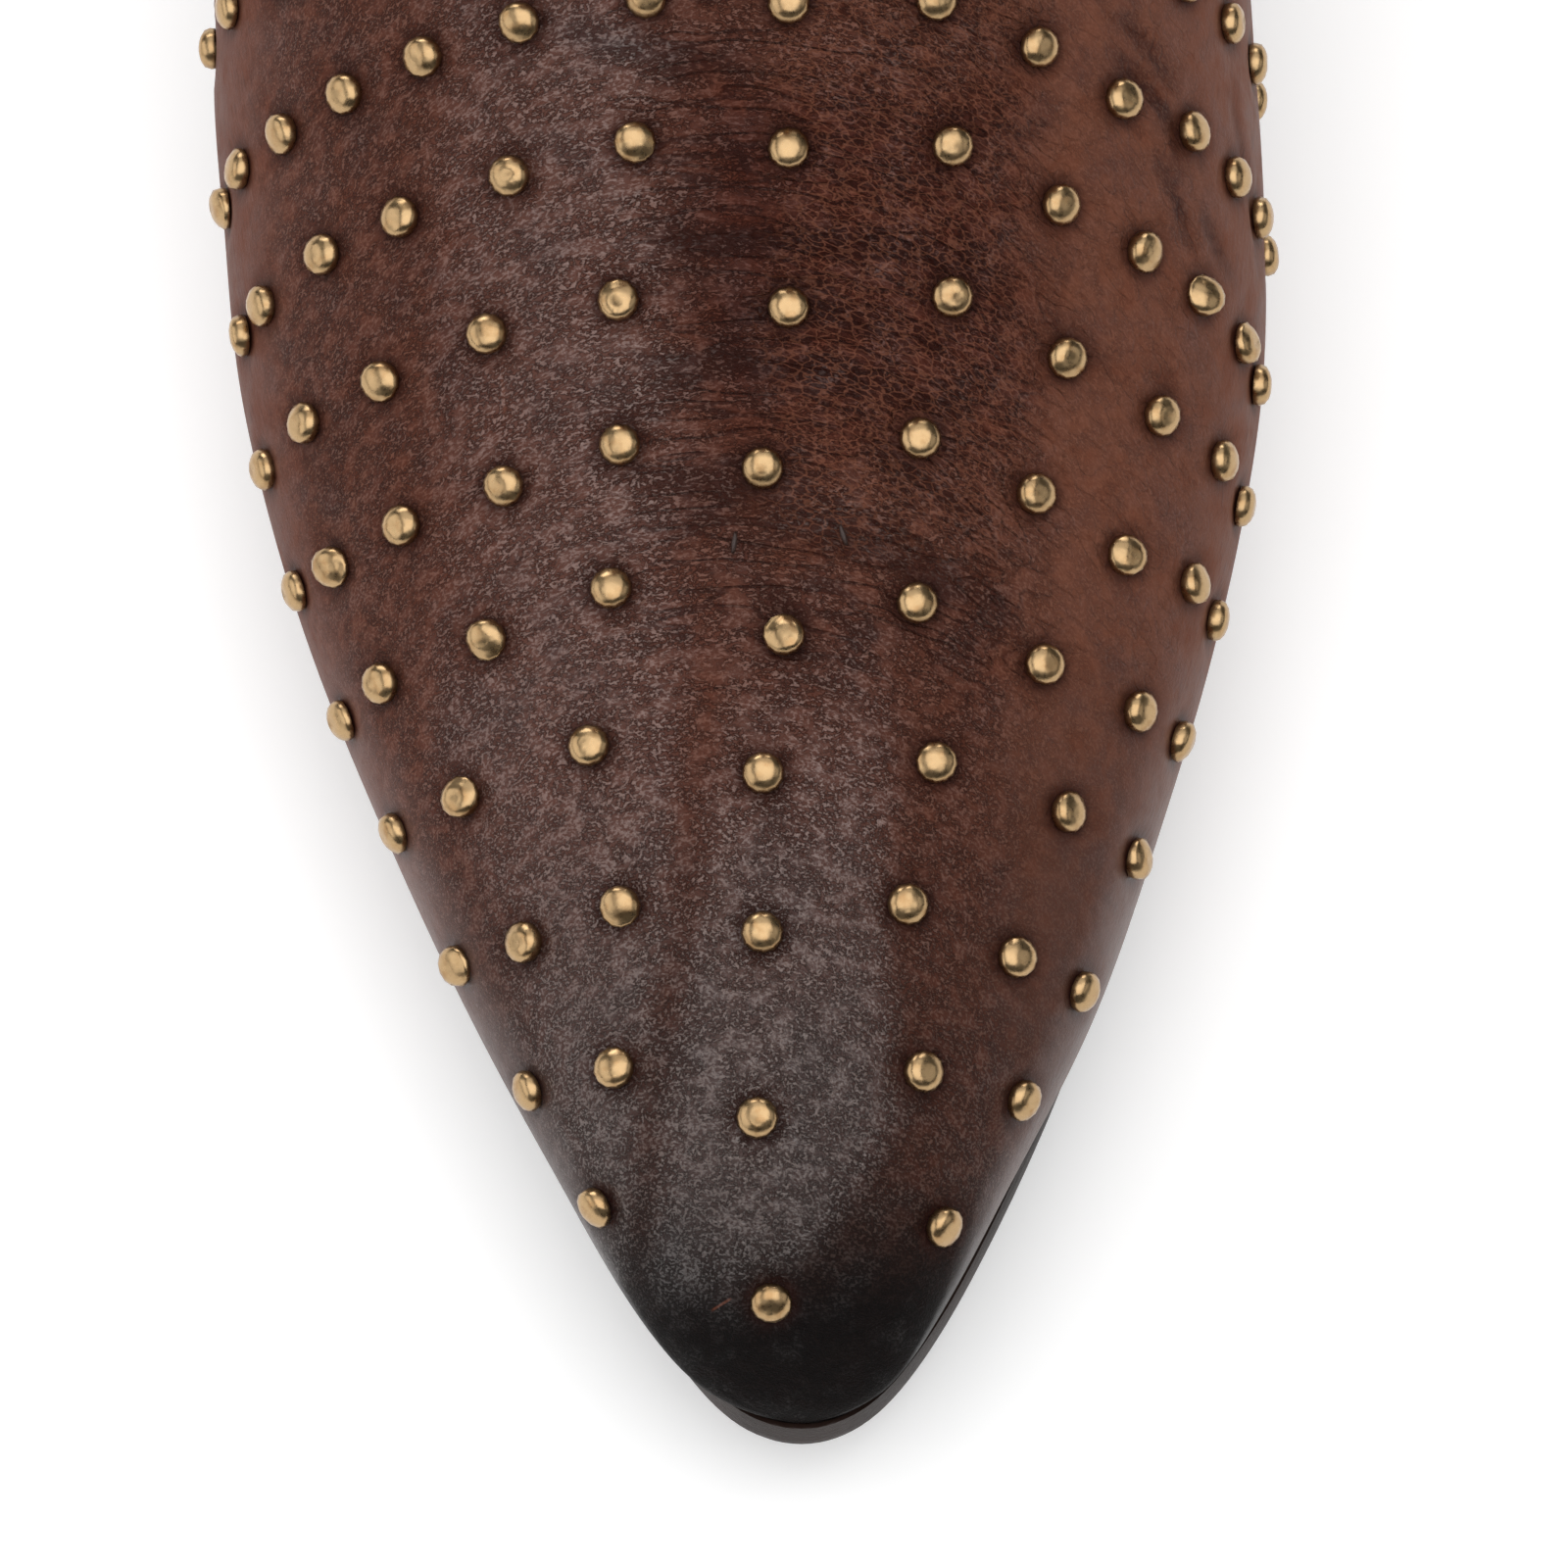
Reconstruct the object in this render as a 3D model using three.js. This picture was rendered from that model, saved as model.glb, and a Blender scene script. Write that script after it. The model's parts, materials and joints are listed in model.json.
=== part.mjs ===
// Studded ankle boot for the right foot. The toe points toward -Y, the inner side of the foot is +X and the
// boot stands on Z = 0. Lengths are millimetres, and along counts from the tip of the upper toward the heel.
import * as THREE from 'three';

// Driving sizes of the last
const LENGTH = 276;
const BALL_WIDTH = 96;
const INSTEP_HEIGHT = 62;
const TOE_SPRING = 9.5;
const HEEL_HEIGHT = 45;
const SHAFT_HEIGHT = 123;
const COLLAR_LENGTH = 101;
const COLLAR_WIDTH = 72;
const COLLAR_DROP = 7;

// Driving sizes of the pieces
const WALL = 2;
const SOLE_THICKNESS = 4;
const SOLE_MARGIN = 0.5;
const INSOLE_THICKNESS = 2.5;
const INSOLE_GAP = 0.8;
const TOP_LIFT_THICKNESS = 6;
const HEEL_INSET = 0.3;
const HEEL_TAPER = 0.09;
const BREAST_RAKE = 5;
const CLEARANCE = 0.3;
const STUD_DIAMETER = 3.5;
const STUD_HEIGHT = 1.3;

// Where the sole changes along its length
const TREAD_START = 0.254 * LENGTH;
const TREAD_END = 0.406 * LENGTH;
const BREAST = 0.768 * LENGTH;
const SEAT_END = 0.9855 * LENGTH;
const SEAT_FRONT_HEIGHT = 0.82 * HEEL_HEIGHT;

// Sections of the foot, from the tip to the end of the heel seat. Each stands on the edge of the sole.
// along and ahead are shares of LENGTH: where the section stands and how far its ridge leads its foot.
// rise is a share of INSTEP_HEIGHT. The half widths are shares of BALL_WIDTH, at the widest line and at the
// foot on the outer and inner side, and crest is the ridge's own place across. widest is the height of the
// widest line as a share of the section.
const FOOT_SECTIONS = [
  { along: 0.000, ahead: 0.000, rise: 0.000, outer: 0.000, inner: 0.000, outerFoot: 0.000, innerFoot: 0.000,
    crest: 0.000, widest: 0.50 },
  { along: 0.009, ahead: 0.000, rise: 0.092, outer: 0.091, inner: 0.078, outerFoot: 0.063, innerFoot: 0.061,
    crest: -0.012, widest: 0.50 },
  { along: 0.036, ahead: 0.000, rise: 0.245, outer: 0.163, inner: 0.136, outerFoot: 0.121, innerFoot: 0.118,
    crest: -0.026, widest: 0.50 },
  { along: 0.080, ahead: 0.000, rise: 0.403, outer: 0.233, inner: 0.199, outerFoot: 0.184, innerFoot: 0.179,
    crest: -0.032, widest: 0.44 },
  { along: 0.138, ahead: 0.000, rise: 0.515, outer: 0.317, inner: 0.279, outerFoot: 0.260, innerFoot: 0.244,
    crest: -0.030, widest: 0.42 },
  { along: 0.203, ahead: 0.000, rise: 0.615, outer: 0.400, inner: 0.342, outerFoot: 0.336, innerFoot: 0.301,
    crest: -0.027, widest: 0.42 },
  { along: 0.272, ahead: 0.000, rise: 0.706, outer: 0.476, inner: 0.398, outerFoot: 0.406, innerFoot: 0.352,
    crest: -0.026, widest: 0.41 },
  { along: 0.344, ahead: 0.000, rise: 0.810, outer: 0.530, inner: 0.436, outerFoot: 0.454, innerFoot: 0.390,
    crest: -0.022, widest: 0.39 },
  { along: 0.406, ahead: 0.004, rise: 0.910, outer: 0.549, inner: 0.441, outerFoot: 0.475, innerFoot: 0.395,
    crest: -0.016, widest: 0.37 },
  { along: 0.478, ahead: 0.025, rise: 0.955, outer: 0.560, inner: 0.430, outerFoot: 0.471, innerFoot: 0.370,
    crest: -0.012, widest: 0.36 },
  { along: 0.572, ahead: 0.069, rise: 0.916, outer: 0.540, inner: 0.411, outerFoot: 0.415, innerFoot: 0.303,
    crest: -0.012, widest: 0.37 },
  { along: 0.667, ahead: 0.123, rise: 0.865, outer: 0.490, inner: 0.386, outerFoot: 0.343, innerFoot: 0.254,
    crest: -0.014, widest: 0.39 },
  { along: 0.761, ahead: 0.188, rise: 0.885, outer: 0.442, inner: 0.364, outerFoot: 0.312, innerFoot: 0.249,
    crest: -0.016, widest: 0.41 },
  { along: 0.848, ahead: 0.254, rise: 1.031, outer: 0.410, inner: 0.349, outerFoot: 0.322, innerFoot: 0.260,
    crest: -0.018, widest: 0.425 },
  { along: 0.913, ahead: 0.306, rise: 1.156, outer: 0.396, inner: 0.340, outerFoot: 0.311, innerFoot: 0.249,
    crest: -0.020, widest: 0.44 },
  { along: 0.957, ahead: 0.345, rise: 1.229, outer: 0.390, inner: 0.335, outerFoot: 0.238, innerFoot: 0.176,
    crest: -0.020, widest: 0.455 },
  { along: 0.979, ahead: 0.366, rise: 1.256, outer: 0.387, inner: 0.333, outerFoot: 0.138, innerFoot: 0.076,
    crest: -0.020, widest: 0.463 },
  { along: 0.9855, ahead: 0.371, rise: 1.277, outer: 0.386, inner: 0.332, outerFoot: 0.031, innerFoot: -0.031,
    crest: -0.020, widest: 0.467 },
];

// Sections of the shaft, up to the collar. back is a share of LENGTH, ahead a share of COLLAR_LENGTH and
// climb a share of SHAFT_HEIGHT. front is a share of the ridge's way from the instep to the collar. The
// half widths and the ridge are shares of COLLAR_WIDTH.
const SHAFT_SECTIONS = [
  { back: 0.9935, ahead: 1.034, climb: 0.09, front: 0.14, outer: 0.512, inner: 0.443, crest: -0.026 },
  { back: 0.998, ahead: 1.040, climb: 0.22, front: 0.30, outer: 0.506, inner: 0.440, crest: -0.026 },
  { back: 0.988, ahead: 1.009, climb: 0.42, front: 0.49, outer: 0.500, inner: 0.438, crest: -0.026 },
  { back: 0.974, ahead: 0.975, climb: 0.68, front: 0.71, outer: 0.506, inner: 0.450, crest: -0.026 },
  { back: 0.978, ahead: 1.000, climb: 1.00, front: 1.00, outer: 0.528, inner: 0.472, crest: -0.026 },
];
const SHAFT_WIDEST = 0.47;

// How finely the upper is divided: between two sections, around each side and across the plates
const STEPS_ALONG = 2;
const STEPS_OVER = 9;
const STEPS_UNDER = 5;
const STEPS_ACROSS = 4;
const HEEL_LEVELS = 5;
const WIDEST_TURN = STEPS_OVER / (STEPS_OVER + STEPS_UNDER);

// Rows of studs over the toe, set by hand and so a little uneven. along is the middle stud's place as a
// share of LENGTH, and middle is its own way across. Each pair of outer and inner is one stud: its way over
// the leather from the ridge, as a share of BALL_WIDTH, and how far it lies behind the middle one, as a
// share of LENGTH.
const STUD_ROWS = [
  { along: 0.028, middle: -0.006, outer: [[0.187, 0.034]], inner: [[0.176, 0.026]] },
  { along: 0.080, middle: -0.006, outer: [[0.152, 0.020], [0.268, 0.023]],
    inner: [[0.150, 0.018], [0.273, 0.018]] },
  { along: 0.139, middle: -0.006, outer: [[0.143, 0.011], [0.246, 0.006], [0.358, 0.009]],
    inner: [[0.127, 0.011], [0.244, 0.000], [0.342, -0.002]] },
  { along: 0.190, middle: -0.001, outer: [[0.169, 0.012], [0.310, 0.004], [0.432, 0.004]],
    inner: [[0.153, 0.006], [0.292, -0.002], [0.407, -0.006]] },
  { along: 0.234, middle: 0.007, outer: [[0.147, 0.017], [0.272, 0.006], [0.406, 0.002], [0.494, 0.000]],
    inner: [[0.137, 0.012], [0.261, -0.002], [0.376, -0.008], [0.471, -0.008]] },
  { along: 0.287, middle: -0.004,
    outer: [[0.148, 0.009], [0.260, 0.000], [0.365, -0.006], [0.465, -0.011], [0.548, -0.009]],
    inner: [[0.136, 0.011], [0.247, -0.002], [0.348, -0.015], [0.450, -0.015], [0.516, -0.019]] },
];
const STUD_SIDES = 8;

const leather = new THREE.MeshStandardMaterial({ color: '#38241d', roughness: 0.42, metalness: 0 });
const soleLeather = new THREE.MeshStandardMaterial({ color: '#2b1b15', roughness: 0.6, metalness: 0 });
const heelLeather = new THREE.MeshStandardMaterial({ color: '#2e1c15', roughness: 0.5, metalness: 0 });
const rubber = new THREE.MeshStandardMaterial({ color: '#15110f', roughness: 0.85, metalness: 0 });
const lining = new THREE.MeshStandardMaterial({ color: '#8c6b4c', roughness: 0.8, metalness: 0 });
const brass = new THREE.MeshStandardMaterial({ color: '#b88a4d', roughness: 0.3, metalness: 1 });

// Height of the sole's lower face: toe spring, flat tread, rising waist and sloping heel seat
function soleBottom(along) {
  if (along < TREAD_START) {
    return TOE_SPRING * ((TREAD_START - along) / TREAD_START) ** 2;
  }
  if (along <= TREAD_END) {
    return 0;
  }
  const seatSlope = (HEEL_HEIGHT - SEAT_FRONT_HEIGHT) / (SEAT_END - BREAST);
  if (along >= BREAST) {
    return SEAT_FRONT_HEIGHT + seatSlope * (along - BREAST);
  }
  const waist = BREAST - TREAD_END;
  const share = (along - TREAD_END) / waist;
  const easing = share * share * (3 - 2 * share);
  const arrival = share * share * (share - 1);
  return SEAT_FRONT_HEIGHT * easing + seatSlope * waist * arrival;
}

function soleTop(along) {
  return soleBottom(along) + SOLE_THICKNESS;
}

function featherHeight(along) {
  return soleTop(along) + CLEARANCE;
}

// The two tables as sections in millimetres
function footSection(row) {
  const along = row.along * LENGTH;
  const foot = featherHeight(along);
  return {
    footAlong: along,
    footHeight: foot,
    ridgeAlong: along - row.ahead * LENGTH,
    ridgeHeight: foot + row.rise * INSTEP_HEIGHT,
    outer: row.outer * BALL_WIDTH,
    inner: row.inner * BALL_WIDTH,
    outerFoot: row.outerFoot * BALL_WIDTH,
    innerFoot: row.innerFoot * BALL_WIDTH,
    crest: row.crest * BALL_WIDTH,
    widest: row.widest,
  };
}

function shaftSection(row, instep) {
  const seat = instep.footHeight;
  const collarFront = seat + SHAFT_HEIGHT - COLLAR_DROP;
  const along = row.back * LENGTH;
  return {
    footAlong: along,
    footHeight: seat + row.climb * SHAFT_HEIGHT,
    ridgeAlong: along - row.ahead * COLLAR_LENGTH,
    ridgeHeight: THREE.MathUtils.lerp(instep.ridgeHeight, collarFront, row.front),
    outer: row.outer * COLLAR_WIDTH,
    inner: row.inner * COLLAR_WIDTH,
    outerFoot: instep.outerFoot,
    innerFoot: instep.innerFoot,
    crest: row.crest * COLLAR_WIDTH,
    widest: SHAFT_WIDEST,
  };
}

// The section behind the tip mirrors the one before it, so that every curve runs round the toe
function mirrored(section) {
  const { footAlong, ridgeAlong, footHeight, widest } = section;
  return {
    footAlong,
    footHeight,
    ridgeAlong,
    ridgeHeight: 2 * footHeight - section.ridgeHeight,
    outer: -section.outer,
    inner: -section.inner,
    outerFoot: -section.outerFoot,
    innerFoot: -section.innerFoot,
    crest: -section.crest,
    widest,
  };
}

const footSections = FOOT_SECTIONS.map(footSection);
const instepSection = footSections.at(-1);
const shaftSections = SHAFT_SECTIONS.map((row) => shaftSection(row, instepSection));
const sections = [...footSections, ...shaftSections];
const HEEL_PLACE = footSections.length - 1;
const COLLAR_PLACE = sections.length - 1;

// Values of a section between two rows of the tables, on a smooth curve through the rows
function sectionAt(place) {
  const first = Math.min(Math.floor(place), COLLAR_PLACE - 1);
  const share = place - first;
  const before = first === 0 ? mirrored(sections[1]) : sections[first - 1];
  const from = sections[first];
  const to = sections[first + 1];
  const result = {};
  for (const key of Object.keys(from)) {
    const after = first + 2 > COLLAR_PLACE ? 2 * to[key] - from[key] : sections[first + 2][key];
    const leave = (to[key] - before[key]) / 2;
    const arrive = (after - from[key]) / 2;
    const bend = 2 * (from[key] - to[key]) + leave + arrive;
    const swing = 3 * (to[key] - from[key]) - 2 * leave - arrive;
    result[key] = ((bend * share + swing) * share + leave) * share + from[key];
  }
  if (place <= HEEL_PLACE) {
    result.footHeight = featherHeight(result.footAlong);
  }
  return result;
}

// Halves a range of places until the named value, which grows with the place, reaches a goal
function placeWhere(key, goal) {
  let low = 0;
  let high = HEEL_PLACE;
  for (let pass = 0; pass < 30; pass += 1) {
    const middle = (low + high) / 2;
    if (sectionAt(middle)[key] < goal) {
      low = middle;
    } else {
      high = middle;
    }
  }
  return high;
}

// A point of the outer face. turn goes from -1 at the outer foot over the ridge, at 0, to 1 at the inner one.
// Below the widest line the wall follows the outline of the sole at its own distance along, so that the back
// of the shaft is as round as the heel seat.
function skin(place, turn) {
  const section = sectionAt(place);
  const side = turn < 0 ? -1 : 1;
  const half = turn < 0 ? section.outer : section.inner;
  const footKey = turn < 0 ? 'outerFoot' : 'innerFoot';
  const backward = place > HEEL_PLACE ? instepSection.footAlong - section.footAlong : 0;
  const alongAt = (up) => THREE.MathUtils.lerp(section.footAlong, section.ridgeAlong, up);
  const footAt = (up) => sectionAt(placeWhere('footAlong', alongAt(up) + backward))[footKey];
  const reach = Math.abs(turn);
  let across;
  let up;
  if (reach <= WIDEST_TURN) {
    const angle = (reach / WIDEST_TURN) * Math.PI / 2;
    across = THREE.MathUtils.lerp(section.crest, side * half, Math.sin(angle));
    up = THREE.MathUtils.lerp(section.widest, 1, Math.cos(angle));
  } else {
    const angle = (1 - reach) / (1 - WIDEST_TURN) * Math.PI / 2;
    const climb = 1 - Math.cos(angle);
    const flare = (half - footAt(section.widest)) * Math.sin(climb * Math.PI / 2);
    up = section.widest * climb;
    across = side * (footAt(up) + flare);
  }
  const height = THREE.MathUtils.lerp(section.footHeight, section.ridgeHeight, up);
  return new THREE.Vector3(across, alongAt(up), height);
}

function steps(from, to, count) {
  return Array.from({ length: count + 1 }, (_, index) => from + (to - from) * index / count);
}

const places = steps(0, COLLAR_PLACE, COLLAR_PLACE * STEPS_ALONG);
const heelRow = HEEL_PLACE * STEPS_ALONG;
const turns = steps(-1, 1, 2 * (STEPS_OVER + STEPS_UNDER));
const lastTurn = turns.length - 1;

// The edge of the upper on the sole, seen from above, from the tip down the outer side and back
function featherLoop() {
  const outerSide = [];
  const innerSide = [];
  for (let row = 1; row < heelRow; row += 1) {
    const { footAlong, outerFoot, innerFoot } = sectionAt(places[row]);
    outerSide.push(new THREE.Vector2(-outerFoot, footAlong));
    innerSide.push(new THREE.Vector2(innerFoot, footAlong));
  }
  const tip = new THREE.Vector2(0, 0);
  const heel = new THREE.Vector2(-instepSection.outerFoot, instepSection.footAlong);
  return [tip, ...outerSide, heel, ...innerSide.reverse()];
}

// Moves a loop outward by a distance, inward if it is negative
function offsetLoop(loop, distance) {
  return loop.map((point, index) => {
    const before = loop.at(index - 1);
    const after = loop[(index + 1) % loop.length];
    const travel = after.clone().sub(before).normalize();
    return new THREE.Vector2(point.x - travel.y * distance, point.y + travel.x * distance);
  });
}

function solid(name, material, points, faces) {
  const geometry = new THREE.BufferGeometry();
  geometry.setFromPoints(points);
  geometry.setIndex(faces.flat());
  geometry.computeVertexNormals();
  const mesh = new THREE.Mesh(geometry, material);
  mesh.name = name;
  return mesh;
}

function quad(a, b, c, d) {
  return [[a, b, c], [a, c, d]];
}

function turnedOver(faces) {
  return faces.map(([a, b, c]) => [a, c, b]);
}

// The upper: one leather wall, open at the collar and along the edge of the sole
function buildUpper() {
  const outside = [];
  const vertexAt = places.map((place, row) => turns.map((turn, column) => {
    const isTip = row === 0 && column > 0;
    const isSeam = row >= heelRow && column === lastTurn;
    if (isTip || isSeam) {
      return null;
    }
    outside.push(skin(place, turn));
    return outside.length - 1;
  }));
  vertexAt[0] = turns.map(() => 0);
  for (let row = heelRow; row < places.length; row += 1) {
    vertexAt[row][lastTurn] = vertexAt[row][0];
  }

  const outerFaces = [];
  for (let row = 0; row < places.length - 1; row += 1) {
    for (let column = 0; column < lastTurn; column += 1) {
      const near = vertexAt[row];
      const far = vertexAt[row + 1];
      const cell = quad(near[column], near[column + 1], far[column + 1], far[column]);
      outerFaces.push(...(row === 0 ? [cell[1]] : cell));
    }
  }

  const leatherNormal = new THREE.BufferGeometry();
  leatherNormal.setFromPoints(outside);
  leatherNormal.setIndex(outerFaces.flat());
  leatherNormal.computeVertexNormals();
  const normals = leatherNormal.getAttribute('normal');
  const inside = outside.map((point, index) => {
    const normal = new THREE.Vector3().fromBufferAttribute(normals, index);
    return point.clone().addScaledVector(normal, -WALL);
  });
  const edge = footEdge(vertexAt);
  const innerEdge = offsetLoop(featherLoop(), -WALL);
  edge.forEach((vertex, index) => {
    const { x, y } = innerEdge[index];
    inside[vertex].set(x, y, featherHeight(y));
  });

  const count = outside.length;
  const faces = [...outerFaces, ...turnedOver(outerFaces).map((face) => face.map((vertex) => vertex + count))];
  edge.forEach((vertex, index) => {
    const next = edge[(index + 1) % edge.length];
    faces.push(...quad(vertex, next, next + count, vertex + count));
  });
  const collar = vertexAt.at(-1);
  for (let column = 0; column < lastTurn; column += 1) {
    faces.push(...quad(collar[column], collar[column + 1], collar[column + 1] + count, collar[column] + count));
  }
  return solid('upper', leather, [...outside, ...inside], faces);
}

// Vertices of the upper along the edge of the sole, in the order of the feather loop
function footEdge(vertexAt) {
  const outerSide = vertexAt.slice(0, heelRow + 1).map((row) => row[0]);
  const innerSide = vertexAt.slice(1, heelRow).map((row) => row[lastTurn]).reverse();
  return [...outerSide, ...innerSide];
}

// A plate inside a loop that runs down one side and back on the other, between two faces that follow
// the length of the foot
function buildPlate(name, material, loop, lowerFace, upperFace) {
  const half = loop.length / 2;
  const points = [];
  const addRow = (from, to, height, shares) => shares.map((share) => {
    const place = from.clone().lerp(to, share);
    points.push(new THREE.Vector3(place.x, place.y, height(place.y)));
    return points.length - 1;
  });
  const faceRows = (height) => {
    const rows = [];
    for (let index = 0; index <= half; index += 1) {
      const isEnd = index === 0 || index === half;
      const row = addRow(loop[index], loop.at(-index), height, isEnd ? [0] : steps(0, 1, STEPS_ACROSS));
      rows.push(isEnd ? Array(STEPS_ACROSS + 1).fill(row[0]) : row);
    }
    return rows;
  };
  const top = faceRows(upperFace);
  const bottom = faceRows(lowerFace);
  const faces = [];
  for (let index = 0; index < half; index += 1) {
    for (let column = 0; column < STEPS_ACROSS; column += 1) {
      const cell = (rows) => quad(
        rows[index][column],
        rows[index][column + 1],
        rows[index + 1][column + 1],
        rows[index + 1][column],
      ).filter(([a, b, c]) => a !== b && b !== c && a !== c);
      faces.push(...cell(top), ...turnedOver(cell(bottom)));
    }
    const last = STEPS_ACROSS;
    faces.push(...quad(bottom[index][0], top[index][0], top[index + 1][0], bottom[index + 1][0]));
    faces.push(...quad(top[index][last], bottom[index][last], bottom[index + 1][last], top[index + 1][last]));
  }
  return solid(name, material, points, faces);
}

// The part of a loop behind a line across the foot
function loopBehind(loop, line) {
  const kept = [];
  loop.forEach((point, index) => {
    const next = loop[(index + 1) % loop.length];
    if (point.y >= line) {
      kept.push(point.clone());
    }
    if ((point.y < line) !== (next.y < line)) {
      kept.push(point.clone().lerp(next, (line - point.y) / (next.y - point.y)));
    }
  });
  return kept;
}

// A block through rings of the same count of points, closed by flat ends
function buildBlock(name, material, rings) {
  const count = rings[0].length;
  const points = rings.flat();
  const faces = [];
  for (let level = 0; level < rings.length - 1; level += 1) {
    for (let index = 0; index < count; index += 1) {
      const next = (index + 1) % count;
      const low = (level + 1) * count;
      const high = level * count;
      faces.push(...quad(high + index, high + next, low + next, low + index));
    }
  }
  const last = (rings.length - 1) * count;
  for (let index = 1; index < count - 1; index += 1) {
    faces.push([0, index + 1, index]);
    faces.push([last, last + index, last + index + 1]);
  }
  return solid(name, material, points, faces);
}

// The heel's outline at a share of its depth below the seat
function heelOutline(seatLoop, depth) {
  const centre = -instepSection.outerFoot;
  const length = SEAT_END - BREAST;
  return seatLoop.map(({ x, y }) => {
    const share = (y - BREAST) / length;
    const narrowed = centre + (x - centre) * (1 - HEEL_TAPER * depth);
    const shifted = y - HEEL_TAPER * depth * length * share + BREAST_RAKE * depth * (1 - share);
    return new THREE.Vector2(narrowed, shifted);
  });
}

function buildHeel(seatLoop) {
  const floor = TOP_LIFT_THICKNESS + CLEARANCE;
  const rings = steps(0, 1, HEEL_LEVELS).map((depth) => heelOutline(seatLoop, depth).map((place, index) => {
    const ceiling = soleBottom(seatLoop[index].y) - CLEARANCE;
    return new THREE.Vector3(place.x, place.y, THREE.MathUtils.lerp(ceiling, floor, depth));
  }));
  return buildBlock('heel', heelLeather, rings);
}

function buildTopLift(seatLoop) {
  const outline = heelOutline(seatLoop, 1);
  const ring = (height) => outline.map(({ x, y }) => new THREE.Vector3(x, y, height));
  return buildBlock('top_lift', rubber, [ring(TOP_LIFT_THICKNESS), ring(0)]);
}

// A stud's head: a low dome on a flat back, turned about its own axis
function buildStud(name) {
  const radius = STUD_DIAMETER / 2;
  const profile = [
    new THREE.Vector2(0, 0),
    new THREE.Vector2(radius * 0.94, 0),
    new THREE.Vector2(radius, STUD_HEIGHT * 0.35),
    new THREE.Vector2(radius * 0.72, STUD_HEIGHT * 0.85),
    new THREE.Vector2(0, STUD_HEIGHT),
  ];
  const mesh = new THREE.Mesh(new THREE.LatheGeometry(profile, STUD_SIDES), brass);
  mesh.name = name;
  return mesh;
}

// The turn at which a tape laid over a section from its ridge has run a distance
function turnAtTape(place, distance, side) {
  const stride = 0.01;
  let turn = 0;
  let run = 0;
  let here = skin(place, 0);
  while (run < distance && Math.abs(turn) < 1) {
    turn += side * stride;
    const next = skin(place, turn);
    run += here.distanceTo(next);
    here = next;
  }
  return turn;
}

// Seats a stud on the facet of the upper that is met on the way from outside to the heart of a section
function seatStud(stud, carrier, place, turn) {
  const target = skin(place, turn);
  const heart = new THREE.Vector3(0, target.y, featherHeight(target.y) + INSOLE_THICKNESS);
  const inward = heart.clone().sub(target).normalize();
  const start = target.clone().addScaledVector(inward, -BALL_WIDTH);
  const hit = new THREE.Raycaster(start, inward).intersectObject(carrier)[0];
  stud.position.copy(hit.point).addScaledVector(hit.face.normal, CLEARANCE);
  stud.quaternion.setFromUnitVectors(new THREE.Vector3(0, 1, 0), hit.face.normal);
}

function buildStuds(carrier) {
  const studs = [];
  STUD_ROWS.forEach(({ along, middle, outer, inner }, rowIndex) => {
    const outerSide = outer.map(([tape, behind]) => [-tape, behind]).reverse();
    [...outerSide, [middle, 0], ...inner].forEach(([tape, behind], column) => {
      const place = placeWhere('ridgeAlong', (along + behind) * LENGTH);
      const turn = turnAtTape(place, Math.abs(tape) * BALL_WIDTH, Math.sign(tape));
      const stud = buildStud(`stud_${rowIndex}_${column}`);
      seatStud(stud, carrier, place, turn);
      studs.push(stud);
    });
  });
  return studs;
}

const boot = new THREE.Group();
const feather = featherLoop();
const soleLoop = offsetLoop(feather, SOLE_MARGIN);
const insoleLoop = offsetLoop(feather, -WALL - INSOLE_GAP);
const seatLoop = loopBehind(offsetLoop(feather, SOLE_MARGIN - HEEL_INSET), BREAST);
const upper = buildUpper();
boot.add(upper);
boot.add(buildPlate('outsole', soleLeather, soleLoop, soleBottom, soleTop));
boot.add(buildPlate(
  'insole',
  lining,
  insoleLoop,
  featherHeight,
  (along) => featherHeight(along) + INSOLE_THICKNESS,
));
boot.add(buildHeel(seatLoop));
boot.add(buildTopLift(seatLoop));
boot.add(...buildStuds(upper));

// The origin lies on the ground under the middle of the boot
const centre = new THREE.Box3().setFromObject(boot, true).getCenter(new THREE.Vector3());
boot.position.set(-centre.x, -centre.y, 0);
boot.updateMatrixWorld(true);

export default boot;
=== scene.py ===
# %% [markdown]
# A studded ankle boot for the right foot, in dark waxed leather with small brass studs.
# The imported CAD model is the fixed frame: it gives the last, the wall of the upper, the sole and the heel.
# Blender gives what a CAD solid can't: the soft dips that studs press into leather, creases, grain and wax.

import json
import math
import random

import bpy
import numpy as np
from mathutils import Matrix, Vector
from mathutils.bvhtree import BVHTree
from mathutils.kdtree import KDTree

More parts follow.
